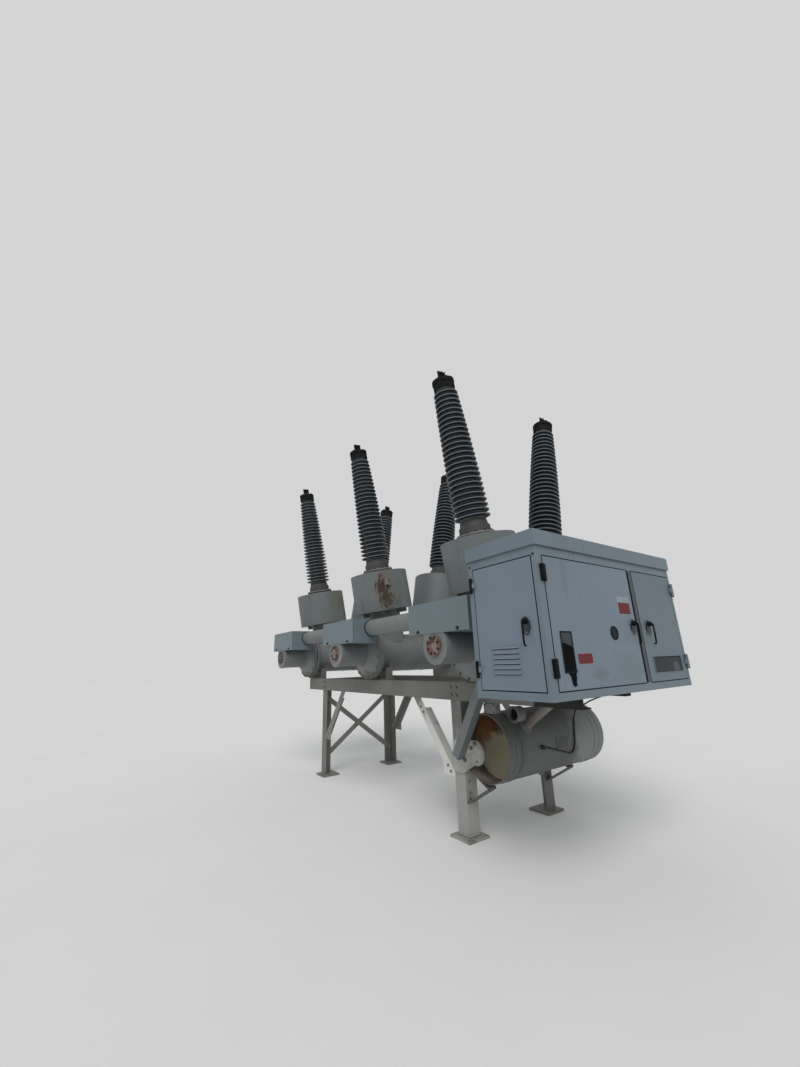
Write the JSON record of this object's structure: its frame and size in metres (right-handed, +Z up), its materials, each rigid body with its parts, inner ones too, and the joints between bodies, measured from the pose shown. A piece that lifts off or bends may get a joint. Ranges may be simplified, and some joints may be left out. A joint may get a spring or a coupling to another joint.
{
  "type": "substation circuit breaker",
  "caption": "Outdoor dead-tank circuit breaker: level tanks with leaning porcelain bushings on a steel frame, with link boxes, an air receiver and a control cabinet with hinged doors",
  "frame": {"origin": "on the floor under the middle tank, at the centre of the anchor holes of the four feet", "axes": "X along the row of poles towards the control cabinet, -Y towards the side with the link boxes, Z up"},
  "size_m": [4.9813, 2.1003, 4.2308],
  "materials": {
    "black_metal": "black paint",
    "cabinet_paint": "light blue-grey paint",
    "cap_metal": "dark weathered metal",
    "casting": "pale casting",
    "disc_paint": "dull red paint",
    "frame_paint": "weathered light grey paint on steel",
    "porcelain": "grey glazed porcelain",
    "receiver_paint": "light grey paint, yellowed",
    "rubber": "black rubber",
    "sealant": "yellowed sealant",
    "tank_paint": "light grey paint with rust stains"
  },
  "bodies": {
    "body": {"main_beams": "frame_paint", "cross_beams": "frame_paint", "legs": "frame_paint", "foot_plates": "frame_paint", "knee_braces": "frame_paint", "joint_plate": "frame_paint", "outer_brace": "frame_paint", "end_braces": "frame_paint", "tank_saddles": "frame_paint", "cabinet_bearers": "frame_paint", "tanks": "tank_paint", "drive_cylinders": "tank_paint", "drive_discs": "disc_paint", "rear_covers": "tank_paint", "flange_gaskets": "sealant", "link_boxes": "cabinet_paint", "box_covers": "cabinet_paint", "link_pipes": "tank_paint", "pipe_gaskets": "rubber", "bushing_necks": "tank_paint", "transformer_cans": "tank_paint", "bushing_flanges": "tank_paint", "porcelain_front": "porcelain", "porcelain_rear": "porcelain", "bushing_caps": "cap_metal", "terminals": "cap_metal", "cabinet_floor": "cabinet_paint", "cabinet_inner_wall": "cabinet_paint", "cabinet_rear_wall": "cabinet_paint", "cabinet_side_frame": "cabinet_paint", "cabinet_end_frame": "cabinet_paint", "cabinet_roof": "cabinet_paint", "cabinet_hinges": "black_metal", "receiver_shell": "receiver_paint", "receiver_heads": "receiver_paint", "receiver_brackets": "frame_paint", "receiver_hose": "rubber", "receiver_valve": "casting", "receiver_feed": "casting"},
    "side_door": {"side_door": "cabinet_paint"},
    "main_door": {"main_door": "cabinet_paint"},
    "small_door": {"small_door": "cabinet_paint"},
    "side_handle": {"side_handle": "black_metal"},
    "main_handle": {"main_handle": "black_metal"},
    "small_handle": {"small_handle": "black_metal"}
  },
  "joints": [
    {"name": "side_door_hinge", "type": "hinge", "parent": "body", "child": "side_door", "pos_m": [2.27, -1.156, 1.348], "axis": [0, 0, -1], "range_deg": [0, 110]},
    {"name": "main_door_hinge", "type": "hinge", "parent": "body", "child": "main_door", "pos_m": [2.845, -1.097, 1.348], "axis": [0, 0, -1], "range_deg": [0, 110]},
    {"name": "small_door_hinge", "type": "hinge", "parent": "body", "child": "small_door", "pos_m": [2.845, 0.606, 1.348], "axis": [0, 0, 1], "range_deg": [0, 110]},
    {"name": "side_handle_pivot", "type": "hinge", "parent": "side_door", "child": "side_handle", "pos_m": [2.708, -1.178, 1.628], "axis": [0, 1, 0], "range_deg": [0, 90]},
    {"name": "main_handle_pivot", "type": "hinge", "parent": "main_door", "child": "main_handle", "pos_m": [2.867, -0.127, 1.628], "axis": [-1, 0, 0], "range_deg": [0, 90]},
    {"name": "small_handle_pivot", "type": "hinge", "parent": "small_door", "child": "small_handle", "pos_m": [2.867, 0.095, 1.628], "axis": [1, 0, 0], "range_deg": [0, 90]}
  ]
}
